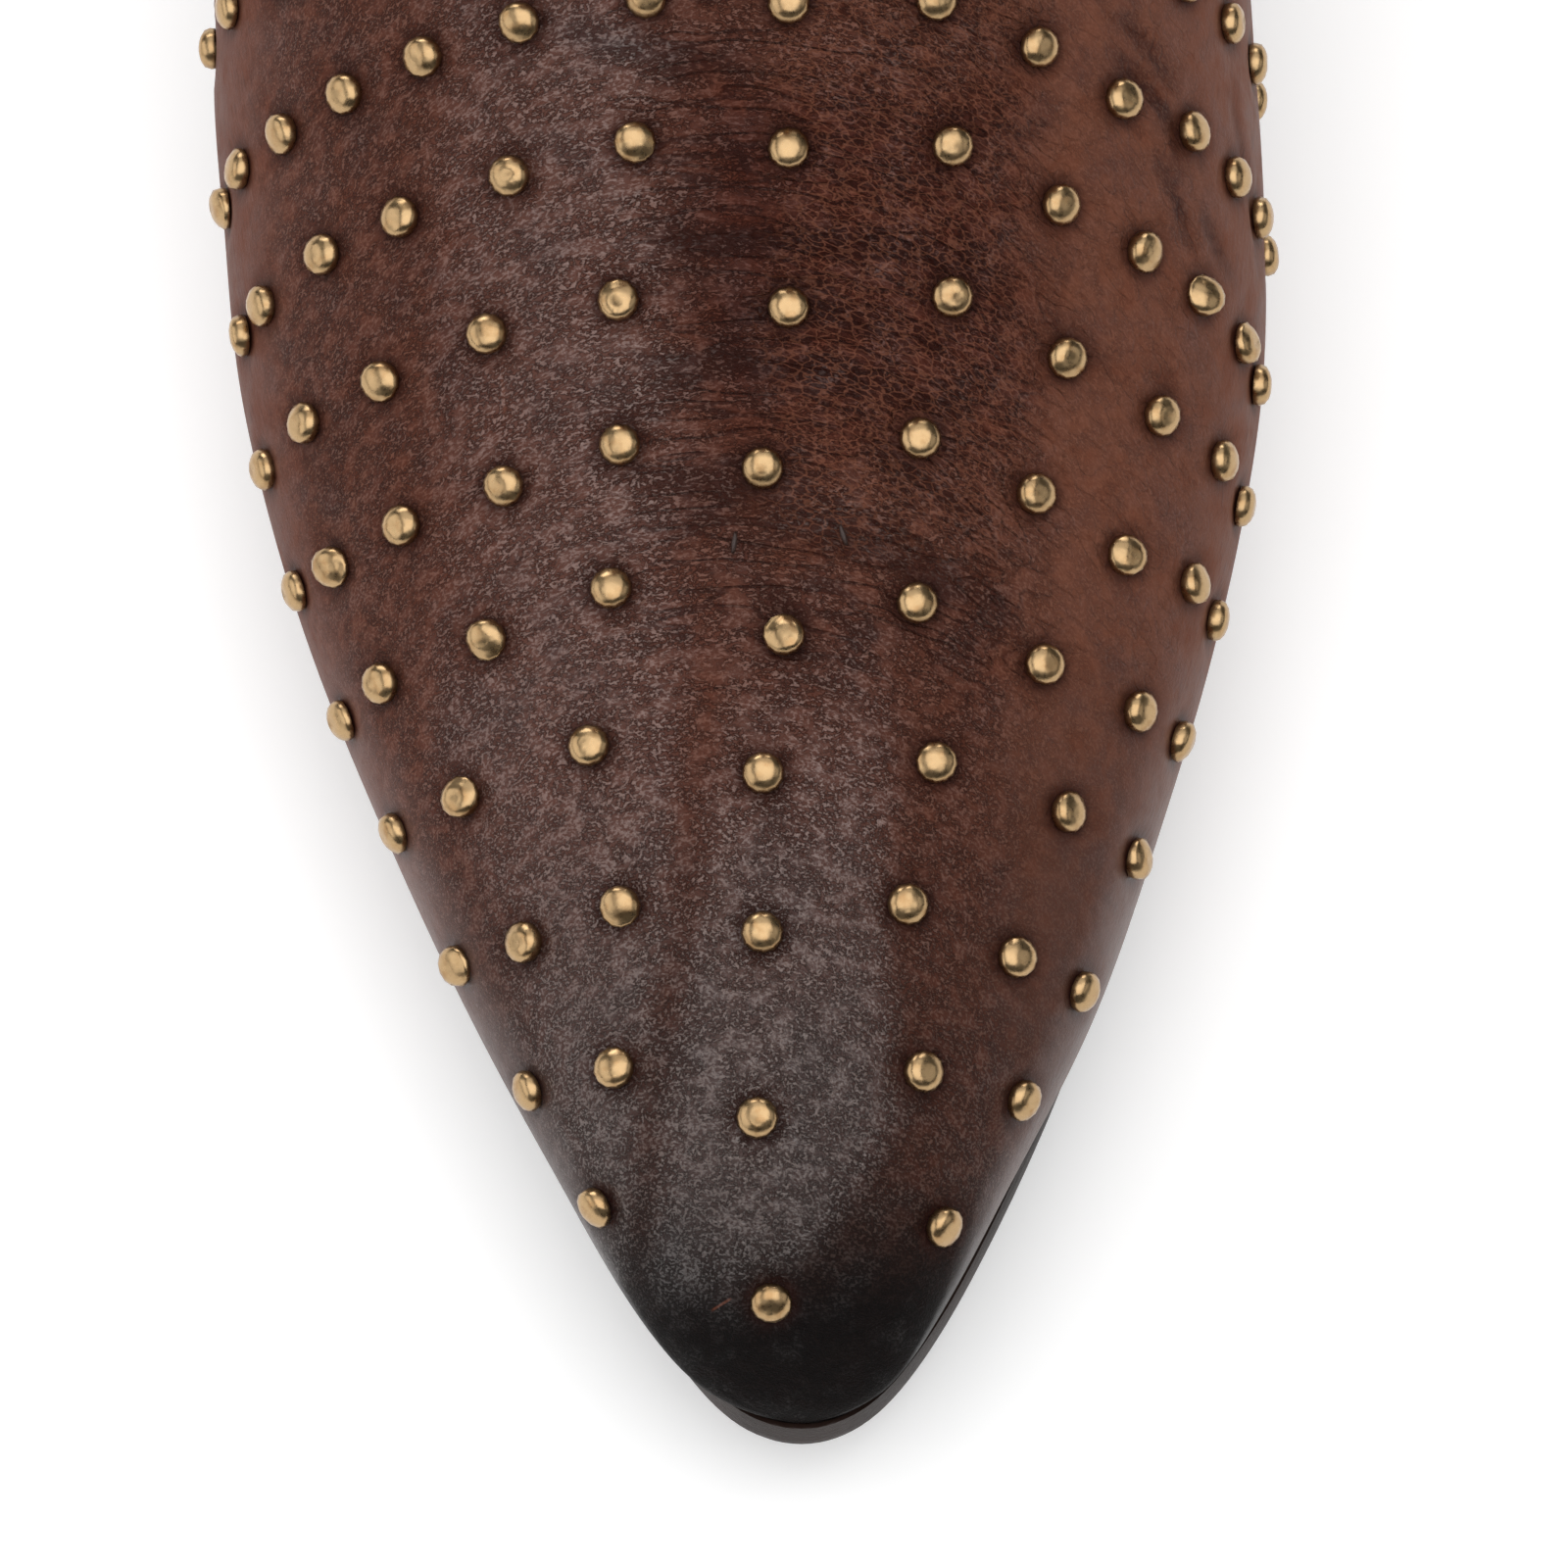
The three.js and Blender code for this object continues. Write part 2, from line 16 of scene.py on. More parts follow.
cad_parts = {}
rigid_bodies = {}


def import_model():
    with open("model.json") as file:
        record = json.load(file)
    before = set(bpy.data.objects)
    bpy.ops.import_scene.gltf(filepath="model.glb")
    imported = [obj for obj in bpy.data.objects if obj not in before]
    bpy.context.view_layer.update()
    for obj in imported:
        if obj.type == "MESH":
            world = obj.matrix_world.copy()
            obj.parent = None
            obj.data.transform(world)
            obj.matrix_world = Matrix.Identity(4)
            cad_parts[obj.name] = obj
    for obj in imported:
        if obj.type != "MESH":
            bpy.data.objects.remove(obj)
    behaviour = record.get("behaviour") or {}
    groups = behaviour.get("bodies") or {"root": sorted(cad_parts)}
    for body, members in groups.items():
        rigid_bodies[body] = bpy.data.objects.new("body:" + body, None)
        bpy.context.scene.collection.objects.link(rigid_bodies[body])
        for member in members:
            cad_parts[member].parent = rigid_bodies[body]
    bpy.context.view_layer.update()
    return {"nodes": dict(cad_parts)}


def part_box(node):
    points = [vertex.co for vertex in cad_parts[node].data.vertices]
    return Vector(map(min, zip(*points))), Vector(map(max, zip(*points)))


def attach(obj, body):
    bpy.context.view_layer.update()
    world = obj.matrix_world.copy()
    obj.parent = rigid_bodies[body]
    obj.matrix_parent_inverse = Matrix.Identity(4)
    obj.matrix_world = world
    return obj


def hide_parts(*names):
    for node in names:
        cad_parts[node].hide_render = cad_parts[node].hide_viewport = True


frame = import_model()
MM = 0.001

# %% [markdown]
# The boot has its own measure. "Along" counts millimetres from the tip of the upper toward the heel, and
# "across" counts from the middle of the photo's frame line toward the inner side of the foot. The frame has
# both: the upper's box starts at the tip, and the ridge of the vamp lies 4.5 mm to the inner side of X = 0.

# %% The boot's own measure
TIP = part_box("upper")[0].y
CREST = 4.5 * MM


def at_along(along):
    """Y of a place that is counted in millimetres from the tip."""
    return TIP + along * MM


print("The tip of the upper lies at y =", round(TIP / MM, 2), "mm")

# %% [markdown]
# The photo looks down on the forefoot from above the toe, 69 degrees above the floor, and it shows 143 mm
# of the boot from side to side. A long lens far away keeps the lines as straight as the photo has them.

# %% Camera
CAMERA_ELEVATION = math.radians(69)
FRAME_WIDTH = 142.9 * MM
CAMERA_DISTANCE = 5.0
SCALE_DEPTH = 0.03
FRAME_CENTRE = Vector((4.08, -87.3, 45.0)) * MM

camera_data = bpy.data.cameras.new("camera")
camera_data.lens = camera_data.sensor_width * (CAMERA_DISTANCE + SCALE_DEPTH) / FRAME_WIDTH
camera = bpy.data.objects.new("camera", camera_data)
bpy.context.scene.collection.objects.link(camera)
camera_side = Vector((0, -math.cos(CAMERA_ELEVATION), math.sin(CAMERA_ELEVATION)))
camera.location = FRAME_CENTRE + camera_side * CAMERA_DISTANCE
camera.rotation_euler = camera_side.to_track_quat("Z", "Y").to_euler()
bpy.context.scene.camera = camera
print("Lens:", round(camera_data.lens), "mm")

# %% [markdown]
# Shader sums are easier to read as sums. One small class wraps a socket, so that 1 - mask or mask * 0.5
# adds its Math node, and one method makes every other node: its type, its settings and then its sockets.


# %% Shader helpers
class Term:
    """A socket that can be added, multiplied and compared."""

    def __init__(self, finish, socket):
        self.finish = finish
        self.socket = socket

    def math(self, operation, first, second=0.0, clamp=False):
        settings = {"operation": operation, "use_clamp": clamp}
        made = self.finish.node("ShaderNodeMath", settings, {0: first, 1: second})
        return Term(self.finish, made.outputs[0])

    def __add__(self, other):
        return self.math("ADD", self, other)

    def __radd__(self, other):
        return self.math("ADD", other, self)

    def __sub__(self, other):
        return self.math("SUBTRACT", self, other)

    def __rsub__(self, other):
        return self.math("SUBTRACT", other, self)

    def __mul__(self, other):
        return self.math("MULTIPLY", self, other)

    def __rmul__(self, other):
        return self.math("MULTIPLY", other, self)

    def __truediv__(self, other):
        return self.math("DIVIDE", self, other)

    def __abs__(self):
        return self.math("ABSOLUTE", self)

    def held(self):
        """The same value, kept between 0 and 1."""
        return self.math("ADD", self, 0.0, clamp=True)

    def rise(self, low, high):
        """0 below low and 1 above high, with a soft way between. low may be the larger one."""
        settings = {"interpolation_type": "SMOOTHSTEP"}
        sockets = {0: self, 1: low, 2: high, 3: 0.0, 4: 1.0}
        return Term(self.finish, self.finish.node("ShaderNodeMapRange", settings, sockets).outputs[0])


class Finish:
    """A material that is put together from nodes."""

    def __init__(self, name):
        self.material = bpy.data.materials.new(name)
        self.material.use_nodes = True
        self.tree = self.material.node_tree
        self.tree.nodes.clear()

    def node(self, kind, settings=None, sockets=None):
        made = self.tree.nodes.new(kind)
        for name, value in (settings or {}).items():
            setattr(made, name, value)
        for name, value in (sockets or {}).items():
            if isinstance(value, Term):
                value = value.socket
            if isinstance(value, bpy.types.NodeSocket):
                self.tree.links.new(value, made.inputs[name])
            else:
                made.inputs[name].default_value = value
        return made

    def vector_math(self, operation, sockets):
        return self.node("ShaderNodeVectorMath", {"operation": operation}, sockets).outputs[0]

    def place(self, stretch=(1, 1, 1)):
        """The place on the boot in millimetres, each axis multiplied by its stretch."""
        here = self.node("ShaderNodeTexCoord").outputs["Object"]
        scale = [value / MM for value in stretch]
        return self.vector_math("MULTIPLY", {0: here, 1: scale})

    def axes(self, place):
        made = self.node("ShaderNodeSeparateXYZ", {}, {0: place})
        return [Term(self, socket) for socket in made.outputs]

    def point(self, x, y, z):
        """A place put together from three values in millimetres."""
        return self.node("ShaderNodeCombineXYZ", {}, {0: x, 1: y, 2: z}).outputs[0]

    def noise(self, place, size, detail=2.0, roughness=0.5):
        """Soft noise with lumps of about that size in millimetres."""
        sockets = {"Vector": place, "Scale": 1 / size, "Detail": detail, "Roughness": roughness}
        return Term(self, self.node("ShaderNodeTexNoise", {}, sockets).outputs[0])

    def cells(self, place, size, feature="DISTANCE_TO_EDGE"):
        sockets = {"Vector": place, "Scale": 1 / size}
        made = self.node("ShaderNodeTexVoronoi", {"feature": feature}, sockets)
        return Term(self, made.outputs["Distance"])

    def shifted(self, place, size, amount):
        """The place, pushed about by noise, so that lines drawn with it run unevenly."""
        sockets = {"Vector": place, "Scale": 1 / size, "Detail": 2.0}
        push = self.node("ShaderNodeTexNoise", {}, sockets).outputs[1]
        centred = self.vector_math("SUBTRACT", {0: push, 1: (0.5, 0.5, 0.5)})
        scaled = self.vector_math("SCALE", {0: centred, "Scale": amount})
        return self.vector_math("ADD", {0: place, 1: scaled})

    def blend(self, share, first, second, mode="MIX"):
        """Two colours mixed by a share. A plain colour is written as red, green and blue."""
        first, second = [(*c, 1.0) if isinstance(c, tuple) else c for c in (first, second)]
        settings = {"data_type": "RGBA", "blend_type": mode}
        return self.node("ShaderNodeMix", settings, {0: share, 6: first, 7: second}).outputs[2]

    def mask(self, name):
        """A value that the mesh carries at its points."""
        return Term(self, self.node("ShaderNodeAttribute", {"attribute_name": name}).outputs["Fac"])

    def stroke(self, right, up, turn, half_length, half_width):
        """A short line with soft edges. right and up are the way from its middle in millimetres."""
        run = right * math.cos(turn) + up * math.sin(turn)
        aside = up * math.cos(turn) - right * math.sin(turn)
        return abs(run).rise(half_length, half_length * 0.6) * abs(aside).rise(half_width, half_width * 0.3)

    def bump(self, height, depth, under=None):
        """Relief whose height of 1 stands for depth in millimetres."""
        sockets = {"Height": height, "Distance": depth * MM, "Strength": 1.0}
        if under is not None:
            sockets["Normal"] = under
        return self.node("ShaderNodeBump", {}, sockets).outputs[0]

    def shader(self, **sockets):
        """A Principled shader. An underscore stands for a space in a socket's name."""
        named = {key.replace("_", " "): value for key, value in sockets.items()}
        return self.node("ShaderNodeBsdfPrincipled", {}, named).outputs[0]

    def output(self, shader):
        self.node("ShaderNodeOutputMaterial", {}, {"Surface": shader})
        return self.material

    def surface(self, **sockets):
        return self.output(self.shader(**sockets))

    def mixed(self, share, first, second):
        """Two shaders, the second one showing by the share."""
        return self.output(self.node("ShaderNodeMixShader", {}, {0: share, 1: first, 2: second}).outputs[0])


# %% [markdown]
# The studio is plain. A wide soft ceiling of light hangs over the boot, brighter in front of it than behind,
# a second panel stands at the left, and a weak one fills the right. A bright panel behind the boot lights
# the upper third of each stud, while most of the vamp slopes away from it. The floor is matt and white, and
# it glows a little, so that the shadow beside the boot stays as light as in the photo.

# %% Studio
LIGHTS = [
    {"name": "front", "centre": (0.20, -0.85, 2.2), "facing": (0, 0, -1), "size": (3.0, 2.7), "glow": 2.1},
    {"name": "rear", "centre": (0.20, 1.25, 2.2), "facing": (0, 0, -1), "size": (3.0, 1.5), "glow": 1.0},
    {"name": "back", "centre": (-0.3, 2.8, 1.5), "facing": (0.1, -1, -0.45), "size": (3.0, 1.0), "glow": 4.6},
    {"name": "left", "centre": (-2.0, -0.5, 1.1), "facing": (1, 0.1, -0.15), "size": (3.2, 1.6), "glow": 1.5},
    {"name": "right", "centre": (2.6, -0.6, 1.5), "facing": (-1, 0.1, -0.4), "size": (2.0, 1.2), "glow": 0.7},
]
SKY = 0.05
FLOOR_GLOW = 0.3
FLOOR_SIDE = 14.0

for light in LIGHTS:
    data = bpy.data.lights.new("light_" + light["name"], "AREA")
    data.shape = "RECTANGLE"
    data.size, data.size_y = light["size"]
    data.energy = light["glow"] * math.pi * data.size * data.size_y
    lamp = bpy.data.objects.new(data.name, data)
    bpy.context.scene.collection.objects.link(lamp)
    lamp.location = light["centre"]
    lamp.rotation_euler = (-Vector(light["facing"])).to_track_quat("Z", "Y").to_euler()
    lamp.visible_camera = False

world = bpy.data.worlds.new("studio")
world.use_nodes = True
background = world.node_tree.nodes["Background"]
light_path = world.node_tree.nodes.new("ShaderNodeLightPath")
brightness = world.node_tree.nodes.new("ShaderNodeMapRange")
brightness.inputs["To Min"].default_value = SKY
brightness.inputs["To Max"].default_value = 1.0
world.node_tree.links.new(light_path.outputs["Is Camera Ray"], brightness.inputs["Value"])
world.node_tree.links.new(brightness.outputs[0], background.inputs["Strength"])
background.inputs["Color"].default_value = (1.0, 1.0, 1.0, 1.0)
bpy.context.scene.world = world
bpy.context.scene.view_settings.view_transform = "Standard"

bpy.ops.object.select_all(action="DESELECT")
bpy.ops.mesh.primitive_plane_add(size=FLOOR_SIDE, location=(0, 0, 0))
floor = bpy.context.object
floor.name = "floor"
paper = Finish("pale_paper")
floor.data.materials.append(
    paper.surface(
        Base_Color=(0.85, 0.85, 0.85, 1.0),
        Roughness=0.9,
        Emission_Color=(1.0, 1.0, 1.0, 1.0),
        Emission_Strength=FLOOR_GLOW,
    )
)
print("Lights:", len(LIGHTS))


# %% [markdown]
# A piece that has the CAD's shape starts as a copy of its node. The node's mesh is loose triangles, so the
# copy is merged and its flat pairs are made quads again, which subdivide well.


# %% Copy a node
def read_points(piece):
    values = np.zeros(len(piece.data.vertices) * 3)
    piece.data.vertices.foreach_get("co", values)
    return values.reshape(-1, 3)


def read_normals(piece):
    values = np.zeros(len(piece.data.vertices) * 3)
    piece.data.vertex_normals.foreach_get("vector", values)
    return values.reshape(-1, 3)


def write_points(piece, points):
    piece.data.vertices.foreach_set("co", points.ravel())
    piece.data.update()


def deselect():
    bpy.ops.object.select_all(action="DESELECT")


def activate(piece):
    deselect()
    piece.select_set(True)
    bpy.context.view_layer.objects.active = piece


def copy_node(node, name):
    piece = bpy.data.objects.new(name, frame["nodes"][node].data.copy())
    bpy.context.scene.collection.objects.link(piece)
    piece.data.materials.clear()
    activate(piece)
    bpy.ops.object.mode_set(mode="EDIT")
    bpy.ops.mesh.select_all(action="SELECT")
    bpy.ops.mesh.remove_doubles(threshold=0.01 * MM)
    bpy.ops.mesh.tris_convert_to_quads(face_threshold=math.radians(40), shape_threshold=math.radians(70))
    bpy.ops.object.mode_set(mode="OBJECT")
    return piece


def apply_modifier(piece, kind, **settings):
    activate(piece)
    modifier = piece.modifiers.new(kind.lower(), kind)
    for name, value in settings.items():
        setattr(modifier, name, value)
    bpy.ops.object.modifier_apply(modifier=modifier.name)


def crease_sharp(piece, angle, amount):
    """Edges that turn by more than angle keep their corner when the piece is subdivided."""
    activate(piece)
    bpy.ops.object.mode_set(mode="EDIT")
    bpy.ops.mesh.select_mode(type="EDGE")
    bpy.ops.mesh.select_all(action="DESELECT")
    bpy.ops.mesh.edges_select_sharp(sharpness=math.radians(angle))
    bpy.ops.transform.edge_crease(value=amount)
    bpy.ops.object.mode_set(mode="OBJECT")


def refine(piece, levels, rounds=3, free=()):
    """Subdivides a piece whose points stay where they are. Subdivision draws a rounded form inward, so each
    point is first moved outward by what it would lose. The free points are left to round off."""
    activate(piece)
    modifier = piece.modifiers.new("smoothing", "SUBSURF")
    modifier.levels = modifier.render_levels = levels
    goal = read_points(piece)
    points = goal.copy()
    for _ in range(rounds):
        evaluated = piece.evaluated_get(bpy.context.evaluated_depsgraph_get())
        loss = goal - read_points(evaluated)[: len(goal)]
        loss[list(free)] = 0
        points += loss
        write_points(piece, points)
    bpy.ops.object.modifier_apply(modifier=modifier.name)


def triangles(piece):
    return sum(len(polygon.vertices) - 2 for polygon in piece.data.polygons)


# %% [markdown]
# The upper is one wall of leather, 2 mm thick. Its outside, its inside and its rims meet at sharp edges, so
# a flood over smooth edges only, started from the highest point of the vamp, finds the outside.

# %% Upper from its node
upper = copy_node("upper", "upper_leather")
upper_low, upper_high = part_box("upper")


def smooth_flood(piece, seed, angle):
    """The faces that a walk from the seed face reaches without crossing an edge sharper than angle."""
    activate(piece)
    bpy.ops.object.mode_set(mode="EDIT")
    bpy.ops.mesh.select_mode(type="EDGE")
    bpy.ops.mesh.select_all(action="DESELECT")
    bpy.ops.mesh.edges_select_sharp(sharpness=math.radians(angle))
    bpy.ops.mesh.mark_sharp()
    bpy.ops.mesh.select_mode(type="FACE")
    bpy.ops.mesh.select_all(action="DESELECT")
    bpy.ops.object.mode_set(mode="OBJECT")
    piece.data.polygons[seed].select = True
    bpy.ops.object.mode_set(mode="EDIT")
    bpy.ops.mesh.select_linked(delimit={"SHARP"})
    bpy.ops.object.mode_set(mode="OBJECT")
    return [polygon.index for polygon in piece.data.polygons if polygon.select]


def face_from(piece, start, toward):
    """The face that a ray meets first."""
    faces = [p.vertices for p in piece.data.polygons]
    tree = BVHTree.FromPolygons([v.co for v in piece.data.vertices], faces)
    return tree.ray_cast(start, toward)


OUTSIDE, INSIDE, RIM = 0, 1, 2
seed_out = face_from(upper, Vector((CREST, at_along(80), 0.3)), Vector((0, 0, -1)))[2]
seed_in = face_from(upper, Vector((CREST, at_along(80), 0.03)), Vector((0, 0, 1)))[2]
outside = smooth_flood(upper, seed_out, 50)
inside = smooth_flood(upper, seed_in, 50)
layer = upper.data.attributes.new("layer", "INT", "FACE")
kinds = np.full(len(upper.data.polygons), RIM)
kinds[outside] = OUTSIDE
kinds[inside] = INSIDE
layer.data.foreach_set("value", kinds)
counts = [int((kinds == kind).sum()) for kind in (OUTSIDE, INSIDE, RIM)]
print("Faces outside, inside and on the rims:", counts)

# %% [markdown]
# Two levels of subdivision turn the facets into a smooth surface with faces of 1.5 mm. The edge on the sole
# keeps its corner, and the collar's edge is left free, so that it rounds like a folded top line.

# %% Upper smoothed
activate(upper)
bpy.ops.object.mode_set(mode="EDIT")
bpy.ops.mesh.select_mode(type="EDGE")
bpy.ops.mesh.select_all(action="DESELECT")
bpy.ops.mesh.edges_select_sharp(sharpness=math.radians(50))
bpy.ops.object.mode_set(mode="OBJECT")
COLLAR_ZONE = 20 * MM
crease = upper.data.attributes.new("crease_edge", "FLOAT", "EDGE")
collar_points = set()
for edge in upper.data.edges:
    height = upper.data.vertices[edge.vertices[0]].co.z
    low = height < upper_high.z - COLLAR_ZONE
    crease.data[edge.index].value = 1.0 if edge.select and low else 0.0
    if edge.select and not low:
        collar_points.update(edge.vertices)
    edge.use_edge_sharp = False
refine(upper, 2, free=collar_points)
print("Upper after smoothing:", triangles(upper), "triangles")


# %% [markdown]
# Rows of studs run over the leather from side to side, like ribs. To lay one out, a plane is cut through
# the boot, and rays sent inward in this plane give the line of the leather on it. Along this line a tape
# measure gives the places. The CAD has the six rows over the toe already, so those places are taken from
# its nodes.


# %% Walk over the leather
def outer_tree(piece):
    """A search tree over the outside of the upper."""
    kinds = np.zeros(len(piece.data.polygons), int)
    piece.data.attributes["layer"].data.foreach_get("value", kinds)
    faces = [p.vertices for p, kind in zip(piece.data.polygons, kinds) if kind == OUTSIDE]
    return BVHTree.FromPolygons([v.co for v in piece.data.vertices], faces)


leather = outer_tree(upper)
RAY_START = 0.25
RAY_STEP = math.radians(0.5)


def section_line(front, back, side, reach):
    """The line of the leather in the plane through two points of the side view, from the ridge round to the
    point behind or below it. Gives places and normals, and the tape from the ridge to each."""
    front = Vector((CREST, *front))
    back = Vector((CREST, *back))
    heart = front.lerp(back, reach)
    ahead = (front - heart).normalized()
    line = []
    tape = 0.0
    for step in range(int(math.pi / RAY_STEP) + 1):
        turn = step * RAY_STEP
        out = ahead * math.cos(turn) + Vector((side * math.sin(turn), 0, 0))
        place, normal = leather.ray_cast(heart + out * RAY_START, -out, RAY_START)[:2]
        if place is None:
            break
        if line:
            tape += (place - line[-1][0]).length
        line.append((place, normal, tape))
    return line


def on_line(line, tape):
    """The place and normal at that distance on the tape, or nothing where the line has ended."""
    for place, normal, run in line:
        if run >= tape:
            return place, normal
    return None


def seat_on_leather(node):
    """Where a CAD stud stands on the smooth leather, and the leather's normal there."""
    low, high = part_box(node)
    place, normal = leather.find_nearest((low + high) / 2)[:2]
    return place, normal


seats = []
toe_nodes = sorted(name for name in frame["nodes"] if name.startswith("stud_"))
for node in toe_nodes:
    seats.append(seat_on_leather(node))
print("Studs over the toe:", len(seats))

# %% [markdown]
# Behind the toe the photo shows four more rows, the last one only at its ends. They were set by hand, so
# each stud has its own way over the leather from the ridge and its own step toward the toe. Each row bows
# toward the toe at the sides, and its cutting plane leans back a little more than that of the row before.

# %% Rows over the vamp
VAMP_ROWS = [
    {
        "ridge": 93.1,
        "foot_lag": 0.0,
        "outer": [(15.3, 1.1), (27.7, -0.6), (38.7, -2.9), (48.7, -4.1), (57.7, -5.3)],
        "inner": [(14.9, 1.6), (26.1, -2.3), (36.7, -5.2), (46.0, -6.5), (52.4, -8.3)],
    },
    {
        "ridge": 106.6,
        "foot_lag": 0.8,
        "outer": [(13.8, 0.9), (25.8, -0.9), (36.8, -2.8), (45.6, -4.2), (54.8, -6.2), (59.9, -7.2)],
        "inner": [(15.0, 0.9), (25.5, -2.8), (34.8, -5.2), (42.2, -7.2), (49.5, -9.2), (54.2, -11.3)],
    },
    {
        "ridge": 118.8,
        "foot_lag": 3.4,
        "outer": [(12.8, 0.8), (24.6, -0.4), (34.3, -2.1), (43.3, -3.8), (51.6, -5.5), (59.8, -6.4), (66.0, -8.2)],
        "inner": [(13.4, 0.8), (23.4, -2.1), (32.6, -5.1), (41.9, -6.0), (49.0, -8.2), (56.0, -9.9), (62.5, -11.3)],
    },
    {
        "ridge": 131.5,
        "foot_lag": 7.0,
        "outer": [(12.8, 0.8), (24.0, -0.4), (34.5, -2.1), (44.0, -3.8), (53.0, -5.5), (62.0, -6.6), (71.0, -8.0)],
        "inner": [(13.0, 0.8), (23.6, -2.1), (33.0, -5.1), (42.0, -6.8), (50.5, -8.6), (59.0, -10.2), (67.5, -11.5)],
    },
]
FOOT_HEIGHT = 12.0
LINE_HEART = 0.72


def ridge_point(along):
    """Y and Z of the ridge at a place along the boot."""
    hit = leather.ray_cast(Vector((CREST, at_along(along), 0.3)), Vector((0, 0, -1)))[0]
    return hit.y, hit.z


for row in VAMP_ROWS:
    seats.append(leather.find_nearest(Vector((CREST, *ridge_point(row["ridge"]))))[:2])
    for side, studs in ((-1, row["outer"]), (1, row["inner"])):
        for tape, shift in studs:
            front = ridge_point(row["ridge"] + shift)
            foot = (at_along(row["ridge"] + row["foot_lag"] + shift), FOOT_HEIGHT * MM)
            found = on_line(section_line(front, foot, side, LINE_HEART), tape * MM)
            if found:
                seats.append(found)
vamp_end = len(seats)
print("Studs over the vamp:", vamp_end - len(toe_nodes))

# %% [markdown]
# The photo ends at the instep. Behind it the rows go on plainly, as rings that lie level with the collar,
# and a stud is left out where it would come too near another one or the sole. A strip of
# leather covers the seam at the back, so the studs there stand higher by its thickness.

# %% Rings round the shaft and the quarters
STRIP_HALF = 6.4
STRIP_RISE = 0.6
RING_PITCH = 13.2
RING_GAP = 13.0
RING_TOP = 9.0
RING_BACK_DROP = 13.4
CLOSEST = 11.2
EDGE_GAP = 6.0
RINGS_DOWN = 13


def on_strip(place, normal):
    return abs(place.x - CREST) < STRIP_HALF * MM and normal.y > 0.5


def ridge_walk(pitch, first):
    """Points on the ridge from below the top line down to the vamp, pitch apart on the tape."""
    line = []
    for step in range(240):
        height = upper_high.z - step * 0.5 * MM
        hit = leather.ray_cast(Vector((CREST, -0.3, height)), Vector((0, 1, 0)))[0]
        if hit is not None and hit.y < at_along(200):
            line.append(hit)
    points = []
    run = 0.0
    goal = first * MM
    for before, after in zip(line, line[1:]):
        run += (after - before).length
        if run >= goal:
            points.append(after)
            goal += pitch * MM
    return points


def back_point(height):
    """The point at the back of the boot at that height."""
    return leather.ray_cast(Vector((CREST, 0.3, height)), Vector((0, -1, 0)))[0]


def room_for(place):
    nearest = min((place - seat[0]).length for seat in seats)
    return nearest > CLOSEST * MM


sole_top = BVHTree.FromPolygons(
    [v.co for v in frame["nodes"]["outsole"].data.vertices],
    [p.vertices for p in frame["nodes"]["outsole"].data.polygons],
)


def clear_of_edges(place):
    near_sole = (sole_top.find_nearest(place)[0] - place).length < EDGE_GAP * MM
    return not near_sole


front_points = ridge_walk(RING_GAP, RING_TOP)
back_height = upper_high.z - RING_TOP * MM
ring_lines = []
for number in range(RINGS_DOWN):
    if number < len(front_points) and front_points[number].z > 0.074:
        front = front_points[number]
    else:
        front = Vector((CREST, front.y - 6 * MM, front.z - RING_GAP * MM))
    height = back_height - number * RING_BACK_DROP * MM
    back = back_point(max(height, 0.05))
    ring_lines.append(((front.y, front.z), (back.y, height)))

for number, (front, back) in enumerate(ring_lines):
    for side in (-1, 1):
        line = section_line(front, back, side, 0.5)
        if not line:
            continue
        steps = round(line[-1][2] / (RING_PITCH * MM))
        pitch = line[-1][2] / steps
        for count in range(0 if side < 0 else 1, steps + (1 if side < 0 else 0)):
            place, normal = on_line(line, count * pitch) or line[-1][:2]
            behind = place.y > at_along(128)
            if behind and room_for(place) and clear_of_edges(place):
                lift = STRIP_RISE * MM if on_strip(place, normal) else 0.0
                seats.append((place + normal * lift, normal))
print("Studs in rings:", len(seats) - vamp_end, "and in all:", len(seats))

# %% [markdown]
# A stud is a brass dome with a short upright side and a flat top. It is drawn as a ring, extruded upward and
# scaled ring by ring, and closed by one point in the middle. Its foot is sunk into the leather a little.

# %% One stud
STUD_RADIUS = 1.88
STUD_SIDES = 12
STUD_RINGS = [
    {"rise": 0.44, "radius": 1.95},
    {"rise": 0.92, "radius": 1.74},
    {"rise": 1.26, "radius": 1.26},
    {"rise": 1.44, "radius": 0.66},
]
STUD_SINK = 0.22

deselect()
bpy.ops.mesh.primitive_circle_add(vertices=STUD_SIDES, radius=STUD_RADIUS * MM)
model = bpy.context.object
bpy.ops.object.mode_set(mode="EDIT")
bpy.ops.mesh.select_all(action="SELECT")
rise, radius = 0.0, STUD_RADIUS
for ring in STUD_RINGS:
    bpy.ops.mesh.extrude_region_move(TRANSFORM_OT_translate={"value": (0, 0, (ring["rise"] - rise) * MM)})
    scale = ring["radius"] / radius
    bpy.ops.transform.resize(value=(scale, scale, 1))
    rise, radius = ring["rise"], ring["radius"]
bpy.ops.mesh.extrude_region_move(TRANSFORM_OT_translate={"value": (0, 0, 0)})
bpy.ops.mesh.merge(type="CENTER")
bpy.ops.mesh.select_all(action="SELECT")
bpy.ops.mesh.normals_make_consistent(inside=False)
bpy.ops.object.mode_set(mode="OBJECT")
stud_points = np.array([v.co for v in model.data.vertices])
stud_faces = [list(p.vertices) for p in model.data.polygons]
bpy.data.objects.remove(model)
print("Faces of one stud:", len(stud_faces))
